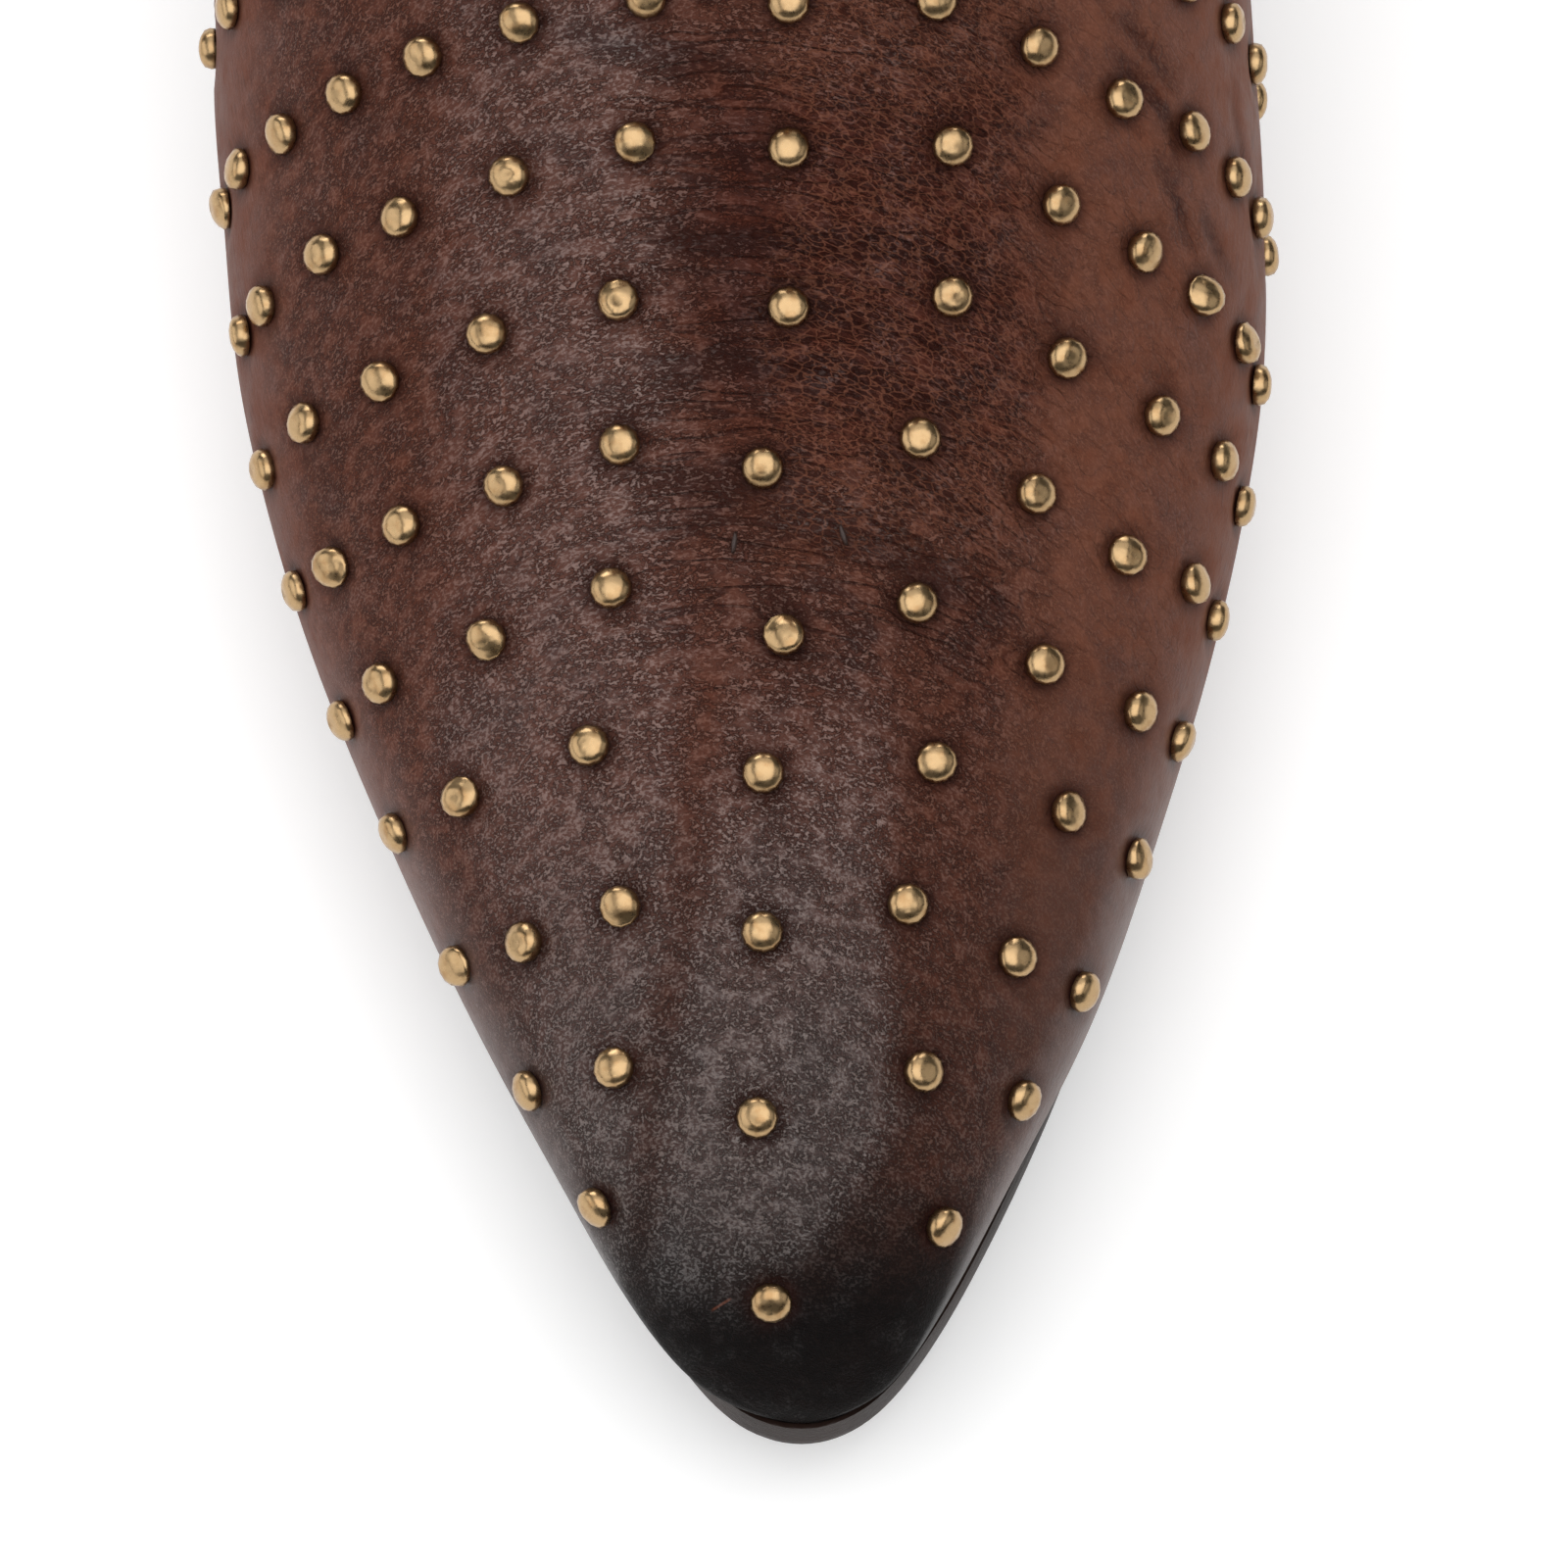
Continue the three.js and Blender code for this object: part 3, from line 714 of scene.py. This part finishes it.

# %% [markdown]
# Each copy stands upright on the leather, turned and tilted a little, and its top is knocked in a
# little differently. The copies are joined into one mesh for each part of the boot.

# %% All studs
hand = random.Random(7)
STUD_TILT = math.radians(4)


def stud_copy(place, normal):
    """The points of one stud on its seat."""
    spin = Matrix.Rotation(hand.uniform(0, 2 * math.pi), 3, "Z")
    tilt = Matrix.Rotation(hand.gauss(0, STUD_TILT), 3, "X")
    stand = normal.to_track_quat("Z", "Y").to_matrix()
    turn = np.array(stand @ tilt @ spin)
    points = stud_points.copy()
    lean = np.array([hand.gauss(0, 0.10), hand.gauss(0, 0.10)])
    top = points[:, 2] > STUD_RINGS[1]["rise"] * MM
    points[top, 2] += points[top, :2] @ lean
    points[-1, 2] -= hand.uniform(-0.05, 0.16) * MM
    points[-1, :2] += np.array([hand.gauss(0, 0.2), hand.gauss(0, 0.2)]) * MM
    points[:, 2] -= STUD_SINK * MM
    return points @ turn.T + np.array(place)


def joined_copies(name, copies, copy_faces):
    """One mesh of many copies that share their faces."""
    points = []
    faces = []
    for copy in copies:
        first = len(points)
        points.extend(copy)
        faces.extend([[index + first for index in face] for face in copy_faces])
    mesh = bpy.data.meshes.new(name)
    mesh.from_pydata([list(point) for point in points], [], faces)
    piece = bpy.data.objects.new(name, mesh)
    bpy.context.scene.collection.objects.link(piece)
    activate(piece)
    bpy.ops.object.shade_smooth()
    return piece


def joined_studs(name, chosen):
    return joined_copies(name, [stud_copy(place, normal) for place, normal in chosen], stud_faces)


toe_studs = joined_studs("studs_toe", seats[: len(toe_nodes)])
vamp_studs = joined_studs("studs_vamp", seats[len(toe_nodes) : vamp_end])
ring_studs = joined_studs("studs_shaft", seats[vamp_end:])
stud_pieces = [toe_studs, vamp_studs, ring_studs]
print("Triangles of the studs:", sum(triangles(piece) for piece in stud_pieces))

# %% [markdown]
# One row of stitches runs below the top line, and two rows hold the strip at the back. A stitch is a drop
# of dark thread, half sunk in the leather. All are joined into one mesh.

# %% Stitches
STITCH_PITCH = 3.2
STITCH_SIZE = (2.3, 0.56, 0.56)
STITCH_DROP = 3.5
STRIP_STITCH = 4.9
STRIP_FOOT = 0.045

stitch_seats = []
top_front = ridge_walk(RING_GAP, STITCH_DROP)[0]
top_back = back_point(upper_high.z - STITCH_DROP * MM)
for side in (-1, 1):
    line = section_line((top_front.y, top_front.z), (top_back.y, top_back.z), side, 0.5)
    for count in range(int(line[-1][2] / (STITCH_PITCH * MM))):
        tape = (count + 0.5) * STITCH_PITCH * MM
        place, normal = on_line(line, tape)
        ahead = (on_line(line, tape + MM) or line[-1])[0]
        if not on_strip(place, normal):
            stitch_seats.append((place, normal, ahead - place))

for side in (-1, 1):
    height = top_back.z
    while height > STRIP_FOOT:
        beside = Vector((CREST + side * STRIP_STITCH * MM, 0.3, height))
        place, normal = leather.ray_cast(beside, Vector((0, -1, 0)))[:2]
        if place is not None and clear_of_edges(place):
            stitch_seats.append((place + normal * STRIP_RISE * MM, normal, Vector((0, 0, 1))))
        height -= STITCH_PITCH * MM

deselect()
bpy.ops.mesh.primitive_uv_sphere_add(segments=6, ring_count=4, radius=0.5)
model = bpy.context.object
thread_points = np.array([v.co for v in model.data.vertices]) * np.array(STITCH_SIZE) * MM
thread_faces = [list(p.vertices) for p in model.data.polygons]
bpy.data.objects.remove(model)


def stitch_copy(place, normal, ahead):
    """The points of one stitch, lying along the way ahead."""
    along_row = (ahead - normal * ahead.dot(normal)).normalized()
    axes = np.array([along_row, normal.cross(along_row), normal])
    return thread_points @ axes + np.array(place)


stitches = joined_copies("stitches", [stitch_copy(*seat) for seat in stitch_seats], thread_faces)
print("Stitches:", len(stitch_seats), "with", triangles(stitches), "triangles")

# %% [markdown]
# Walking bends the leather over the ball of the foot. The photo shows arcs of soft creases across the
# middle of the vamp, and slanting ones on the inner side behind it. Each crease is a listed line, with
# points across and along in millimetres, which is dropped on the leather from above.

# %% Crease lines
CREASES = [
    {"depth": 0.45, "width": 1.0, "line": [(-11, 78.5), (-1, 78), (7.5, 76), (14.5, 73.5), (19, 70.5), (24, 68.5)]},
    {"depth": 0.36, "width": 0.9, "line": [(-5, 75.5), (2, 76), (9, 74), (14.5, 71.5), (20, 69.5), (25, 69)]},
    {"depth": 0.28, "width": 0.8, "line": [(-1, 72.5), (5, 73.5), (10.5, 72), (14, 70.5)]},
    {"depth": 0.24, "width": 0.8, "line": [(1, 70), (4.5, 67), (7.5, 65.5)]},
    {"depth": 0.38, "width": 0.9, "line": [(10.5, 83), (16, 78.5), (23.5, 75)]},
    {"depth": 0.34, "width": 1.0, "line": [(-10, 88.5), (0.5, 88.5), (11, 87), (21, 84.5)]},
    {"depth": 0.28, "width": 0.9, "line": [(-4, 92), (6, 92.5), (14, 91.5), (19, 89.5)]},
    {"depth": 0.32, "width": 1.1, "line": [(-9.5, 98.5), (3, 99), (15, 98.5), (25.5, 96)]},
    {"depth": 0.20, "width": 1.4, "line": [(-21, 119), (-13, 116.5), (-5, 114), (4, 112.5)]},
    {"depth": 0.26, "width": 0.9, "line": [(34, 122), (35.5, 121), (38, 119), (40, 116.5)]},
    {"depth": 0.30, "width": 0.9, "line": [(33, 118.5), (35, 118), (37, 116), (39, 114.5), (40, 112), (40, 108.5)]},
    {"depth": 0.24, "width": 0.9, "line": [(42, 107.5), (43.5, 104.5), (45.5, 102)]},
    {"depth": 0.24, "width": 0.9, "line": [(37.5, 111), (39, 109), (40.5, 105.5), (41.5, 102.5)]},
    {"depth": 0.18, "width": 0.9, "line": [(27.5, 95), (30, 93), (32, 91), (34.5, 90)]},
    {"depth": 0.14, "width": 0.8, "line": [(37, 92.5), (38.5, 91.5), (40, 90)]},
    {"depth": 0.22, "width": 1.0, "line": [(44.5, 120.5), (46, 115), (47, 110), (47.5, 104.5)]},
]
CREASE_STEP = 0.5
CREASE_EASING = 6


def eased_line(knots):
    """Places every half millimetre along the knots, with the corners smoothed away."""
    places = []
    for start, end in zip(knots, knots[1:]):
        count = max(1, round((end - start).length / (CREASE_STEP * MM)))
        places.extend(start.lerp(end, step / count) for step in range(count))
    places.append(knots[-1])
    for _ in range(CREASE_EASING):
        inner = [(a + b + c) / 3 for a, b, c in zip(places, places[1:], places[2:])]
        places = [places[0], *inner, places[-1]]
    return places


crease_marks = []
for crease in CREASES:
    places = eased_line([Vector((across * MM, at_along(along), 0.3)) for across, along in crease["line"]])
    for number, start in enumerate(places):
        hit = leather.ray_cast(start, Vector((0, 0, -1)))[0]
        if hit is not None:
            swell = max(math.sin(math.pi * number / (len(places) - 1)), 0.0) ** 0.6
            crease_marks.append((hit, crease["depth"] * swell, crease["width"]))
crease_search = KDTree(len(crease_marks))
for index, mark in enumerate(crease_marks):
    crease_search.insert(mark[0], index)
crease_search.balance()
print("Creases:", len(CREASES), "with", len(crease_marks), "marks on the leather")

# %% [markdown]
# Where a stud is set, the leather is pulled in round it. The dips are a few millimetres wide, so the faces
# over the forefoot and round every stud are divided once more. Then each point is pushed in by its distance
# from the nearest stud and from the nearest crease, and beside a crease it swells a little.

# %% Dips and creases
DIP_REACH = 4.6
DIP_DEPTH = 0.32
DIP_WIDTH = 1.2
FINE_END = 128
SHOULDER = 0.35

stud_search = KDTree(len(seats))
for index, (place, normal) in enumerate(seats):
    stud_search.insert(place, index)
stud_search.balance()

kinds = np.zeros(len(upper.data.polygons), int)
upper.data.attributes["layer"].data.foreach_get("value", kinds)
activate(upper)
bpy.ops.object.mode_set(mode="EDIT")
bpy.ops.mesh.select_mode(type="FACE")
bpy.ops.mesh.select_all(action="DESELECT")
bpy.ops.object.mode_set(mode="OBJECT")
for polygon in upper.data.polygons:
    near = stud_search.find(polygon.center)[2] < DIP_REACH * MM
    at_strip = abs(polygon.center.x - CREST) < (STRIP_HALF + 2) * MM and polygon.normal.y > 0.4
    fine = near or at_strip or polygon.center.y < at_along(FINE_END)
    polygon.select = bool(fine and kinds[polygon.index] == OUTSIDE)
bpy.ops.object.mode_set(mode="EDIT")
bpy.ops.mesh.subdivide(number_cuts=1, smoothness=1.0, ngon=False)
bpy.ops.object.mode_set(mode="OBJECT")
print("Upper after dividing:", triangles(upper), "triangles")


def outside_points(piece):
    """True for each point that belongs to the outside of the upper."""
    kinds = np.zeros(len(piece.data.polygons), int)
    piece.data.attributes["layer"].data.foreach_get("value", kinds)
    on = np.zeros(len(piece.data.vertices), bool)
    for polygon, kind in zip(piece.data.polygons, kinds):
        if kind == OUTSIDE:
            on[list(polygon.vertices)] = True
    return on


def soft_step(values, low, high):
    share = np.clip((values - low) / (high - low), 0, 1)
    return share * share * (3 - 2 * share)


points = read_points(upper)
normals = read_normals(upper)
on_outside = outside_points(upper)
off_centre = np.abs(points[:, 0] - CREST) / MM
strip = soft_step(off_centre, STRIP_HALF + 0.7, STRIP_HALF - 0.5) * soft_step(normals[:, 1], 0.5, 0.8)
gap = np.array([stud_search.find(Vector(point))[2] for point in points]) / MM
beyond = np.maximum(gap - STUD_RADIUS, 0)
dip = np.exp(-((beyond / DIP_WIDTH) ** 2)) * on_outside
found = [crease_search.find(Vector(point)) for point in points]
ways = np.array([hit[2] for hit in found]) / MM
depths = np.array([crease_marks[hit[1]][1] for hit in found])
widths = np.array([crease_marks[hit[1]][2] for hit in found])
trough = np.exp(-((ways / widths) ** 2)) * on_outside
swelling = np.exp(-((ways / widths - 2.0) ** 2) / 0.6) * SHOULDER * on_outside
push = (dip * DIP_DEPTH + depths * (trough - swelling) - strip * on_outside * STRIP_RISE) * MM
write_points(upper, points - normals * push[:, None])


def point_mask(name, values):
    """A value at each point of the upper, which its material reads."""
    upper.data.attributes.new(name, "FLOAT", "POINT").data.foreach_set("value", values)


# Mask of the dip round each stud, which carries painted shade and dulls the wax there.
point_mask("pucker", dip)
# Mask of the crease troughs, which carries painted shade.
point_mask("crease_shade", trough * np.clip(depths / 0.3, 0, 1))
point_mask("side", soft_step(np.abs(normals[:, 0]), 0.72, 0.95))
print("Deepest push in mm:", round(float(push.max() / MM), 2))

# %% [markdown]
# The leather of the photo is dark brown with a red undertone. The toe is burnished almost to black, the
# middle of the vamp is a deep red brown and the inner side is warmer. Its grain is a fine crinkle, wider
# than it is long, with dark valleys between lit ridges, and longer ripples cross the middle of the vamp.
# Wax was rubbed in unevenly: it shines grey over the toe, up to a soft border at its inner side, and in a
# band down the outer side, while the middle stays dull. So a dull and a waxed shader are mixed by place.
# Light and shade are also painted into the colour: painted shade darkens the grain's valleys, the unlit
# side of the crinkle, the ripples, the crease troughs and the dip round each stud, and a painted grey sheen
# lies on the lit ridges, strongest over the toe.

# %% Upper leather
PLAIN = (0.136, 0.045, 0.0265)
DEEP = (0.086, 0.0195, 0.0095)
WARM = (0.180, 0.064, 0.036)
DUSK = (0.042, 0.0190, 0.0150)
BURNT = (0.0040, 0.0022, 0.0019)
RUST = (0.150, 0.036, 0.015)
# Painted shade for valleys, ripples and crease troughs; it also darkens random blotches and side streaks.
SHADE = (0.28, 0.20, 0.18)
# Painted sheen, the grey of the lit ridges.
SHEEN_GREY = (0.150, 0.112, 0.092)
SCRATCH = (0.170, 0.052, 0.026)
# Painted shade in the dip round each stud.
PAINTED_DIP_SHADE = (0.020, 0.0045, 0.0028)


def upper_finish():
    finish = Finish("waxed_leather")
    place = finish.place()
    across, y, height = finish.axes(place)
    along = y - TIP / MM
    clouds = finish.noise(place, 18, detail=3)
    mottle = finish.noise(place, 4, detail=5, roughness=0.62)
    drift = (clouds - 0.5) * 14

    inner = (across + drift).rise(20, 31)
    centre_line = (along + drift).rise(76, 90) * (along + drift).rise(122, 106)
    middle = centre_line * (across + drift).rise(-9, 2) * (1 - inner)
    toe = (along + drift * 0.4).rise(62, 16)
    tip = (along + drift * 0.15 - abs(across - 2) * 0.25).rise(18, 4)
    colour = finish.blend(inner * 0.85, PLAIN, WARM)
    colour = finish.blend(middle, colour, DEEP)
    colour = finish.blend(mottle.rise(0.45, 0.70) * 0.35, colour, DEEP)
    colour = finish.blend(mottle.rise(0.46, 0.30) * 0.18, colour, RUST)
    colour = finish.blend(inner * along.rise(78, 42) * 0.4, colour, DUSK)
    colour = finish.blend(toe * (0.85 - across.rise(10, 19) * 0.35), colour, DUSK)
    colour = finish.blend(tip * 0.97, colour, BURNT)

    side = finish.mask("side")
    crease_shade = finish.mask("crease_shade")
    dip_shade = finish.mask("pucker")
    low = height.rise(100, 70) * along.rise(165, 140)
    skin = ((1 - side * 0.85) * (1 - inner * 0.6) - 0.3) * low + 0.3
    bow = (across + 2) * (across + 2) * 0.011
    wide = finish.point(across * (0.85 - along.rise(30, 78) * 0.33), y + bow, height)
    wavy = finish.shifted(wide, 1.2, 0.6)
    crinkle = finish.noise(wavy, 0.28, detail=2.0, roughness=0.6)
    patches = finish.noise(wide, 1.6, detail=2.0)
    valley = abs(crinkle - 0.5).rise(0.08, 0.0) * patches.rise(0.34, 0.56)
    lit = crinkle.rise(0.42, 0.64)
    speck = finish.noise(wide, 0.20, detail=1.0)
    shade = finish.noise(place, 8, detail=3)
    net = finish.cells(finish.shifted(wide, 0.9, 0.9), 0.7).rise(0.11, 0.02)
    netted = (along + drift).rise(66, 78) * (across + drift).rise(0, 8) * (across + drift).rise(31, 22)
    long_way = finish.shifted(finish.point(across * 0.16, y + bow, height), 4.0, 1.8)
    ripple = finish.noise(long_way, 1.9, detail=1.0)
    wrinkled = along.rise(54, 66) * (1 - side) * (across + drift).rise(-18, -4) * (1 - inner * 0.7)
    rut = abs(ripple - 0.5).rise(0.055, 0.0) * wrinkled * low
    streaks = finish.noise(finish.place((0.9, 0.12, 1.0)), 0.42, detail=3.0, roughness=0.6)

    # Painted shade: the colour is darkened in the grain's valleys, on the unlit side of each crinkle, in the ripples
    # and in the crease troughs. Random blotches and the streaks on the sides darken it too, as the leather's own
    # tone.
    dark = (valley * 0.75 + (1 - lit) * 0.5 + shade.rise(0.5, 0.68) * 0.22) * skin
    dark = dark + rut * 0.5 + crease_shade * 0.9 + streaks.rise(0.5, 0.72) * side * 0.35
    colour = finish.blend(dark.held(), colour, SHADE, "MULTIPLY")
    # Painted sheen: a grey laid on the lit ridges, most over the toe and least in the middle.
    painted_sheen = lit * skin * (1 - tip) * (1 - middle * 0.65)
    colour = finish.blend(painted_sheen * (0.12 + patches.rise(0.5, 0.8) * 0.12 + toe * 0.14), colour, SHEEN_GREY)
    colour = finish.blend(net * netted * 0.6, colour, WARM)
    scratch = finish.stroke(across + 1.6, along - 7.7, 0.40, 1.1, 0.14)
    mark = finish.stroke(across + 21.4, along - 87.1, 1.65, 2.2, 0.25)
    colour = finish.blend(scratch * 0.6 + mark * 0.35, colour, SCRATCH)
    # Painted shade in the dip round each stud.
    colour = finish.blend((dip_shade * dip_shade * 0.8).held(), colour, PAINTED_DIP_SHADE)

    curve = along.rise(25, 5) * 10
    gap = abs(across + 10.7 + drift * 0.15 - (along * 0.13)).rise(4.2, 0) * 0.85
    toe_wax = along.rise(5, 15) * (along + drift * 0.5).rise(72, 30)
    toe_wax = toe_wax * (across + drift * 0.25 + curve).rise(16, 10.5) * (1 - gap)
    toe_wax = toe_wax * (across + drift * 0.3 - (1 - along / 39) * 12).rise(-24, -15)
    band = along.rise(46, 62) * (across + drift * 0.5).rise(-31, -19) * (across + drift * 0.5).rise(-3, -13)
    rim = side * along.rise(80, 40)
    wax = (0.10 - tip * 0.09 + toe_wax * 1.3 + band * low * 0.75 + (mottle - 0.5) * 0.8) * (1 - dip_shade * 0.8)
    wax = wax * (1 - skin * (0.70 - lit * 1.25 + valley * 0.5)) + rim * 0.6

    relief = finish.bump((crinkle * 0.9 + speck * 0.4 - valley * 0.35) * skin, 0.22)
    relief = finish.bump(rut * -1.0 + streaks * side * 0.4, 0.18, relief)
    relief = finish.bump(mottle, 0.22, relief)
    dull = finish.shader(Base_Color=colour, Roughness=0.55, Normal=relief, Specular_IOR_Level=0.09)
    waxed = finish.shader(
        Base_Color=colour,
        Roughness=0.34 + (mottle - 0.5) * 0.2,
        Normal=relief,
        Specular_IOR_Level=1.0,
    )
    return finish.mixed(wax.held(), dull, waxed)


upper.data.materials.append(upper_finish())

# %% [markdown]
# The inside is lined with a smooth tan leather.

# %% Lining
LINING = (0.26, 0.16, 0.10)


def lining_finish():
    finish = Finish("lining_leather")
    place = finish.place()
    clouds = finish.noise(place, 14, detail=4)
    pores = finish.noise(place, 0.5, detail=2)
    colour = finish.blend(clouds, LINING, (0.20, 0.115, 0.07))
    return finish.surface(
        Base_Color=colour,
        Roughness=0.62 + (clouds - 0.5) * 0.2,
        Normal=finish.bump(pores, 0.05),
    )


lining = lining_finish()
upper.data.materials.append(lining)
kinds = np.zeros(len(upper.data.polygons), int)
upper.data.attributes["layer"].data.foreach_get("value", kinds)
upper.data.polygons.foreach_set("material_index", (kinds == INSIDE).astype(np.int32))
activate(upper)
bpy.ops.object.shade_smooth()
upper.data.update()
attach(upper, "root")
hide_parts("upper")

# %% [markdown]
# The studs are of pale old brass with browner stains, and their shine is a little uneven.

# %% Brass
BRASS = (0.44, 0.295, 0.152)
BRASS_DULL = (0.30, 0.165, 0.068)


def brass_finish():
    finish = Finish("aged_brass")
    place = finish.place()
    stains = finish.noise(place, 1.1, detail=3)
    scuffs = finish.noise(place, 0.45, detail=3)
    colour = finish.blend(stains.rise(0.45, 0.75) * 0.6, BRASS, BRASS_DULL)
    return finish.surface(
        Base_Color=colour,
        Metallic=1.0,
        Roughness=0.27 + (scuffs - 0.4) * 0.2,
        Normal=finish.bump(finish.noise(place, 1.1, detail=1), 0.07),
    )


brass = brass_finish()
for piece in stud_pieces:
    piece.data.materials.append(brass)
    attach(piece, "root")
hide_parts(*toe_nodes)

# %% [markdown]
# The thread is dark and waxed.

# %% Thread
THREAD = (0.030, 0.013, 0.009)


def thread_finish():
    finish = Finish("waxed_thread")
    twist = finish.noise(finish.place(), 0.3, detail=1)
    return finish.surface(Base_Color=(*THREAD, 1.0), Roughness=0.5, Normal=finish.bump(twist, 0.05))


stitches.data.materials.append(thread_finish())
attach(stitches, "root")

# %% [markdown]
# The sole is a thin plate of dark leather with a rounded, waxed edge.

# %% Sole, heel, top lift and insole
SOLE_DARK = (0.017, 0.0085, 0.0062)
HEEL_DARK = (0.032, 0.017, 0.012)
LIFT_DARK = (0.012, 0.010, 0.009)


def sole_finish(name, dark, rough):
    finish = Finish(name)
    place = finish.place()
    clouds = finish.noise(place, 9, detail=4)
    fibres = finish.noise(finish.place((1, 1, 6)), 1.0, detail=3)
    colour = finish.blend(clouds.rise(0.3, 0.8), dark, tuple(1.7 * value for value in dark))
    return finish.surface(
        Base_Color=colour,
        Roughness=rough + (fibres - 0.5) * 0.2,
        Specular_IOR_Level=0.2,
        Normal=finish.bump(fibres, 0.10),
    )


def plain_piece(node, name, finish):
    piece = copy_node(node, name)
    crease_sharp(piece, 40, 0.9)
    refine(piece, 2)
    activate(piece)
    bpy.ops.object.shade_smooth_by_angle(angle=math.radians(35))
    piece.data.materials.append(finish)
    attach(piece, "root")
    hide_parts(node)
    print(name, triangles(piece), "triangles")


sole_leather = sole_finish("sole_leather", SOLE_DARK, 0.5)
heel_leather = sole_finish("heel_leather", HEEL_DARK, 0.42)
lift_rubber = sole_finish("lift_rubber", LIFT_DARK, 0.8)
plain_piece("outsole", "outsole_leather", sole_leather)
plain_piece("heel", "stacked_heel", heel_leather)
plain_piece("top_lift", "rubber_lift", lift_rubber)
plain_piece("insole", "insole_leather", lining)
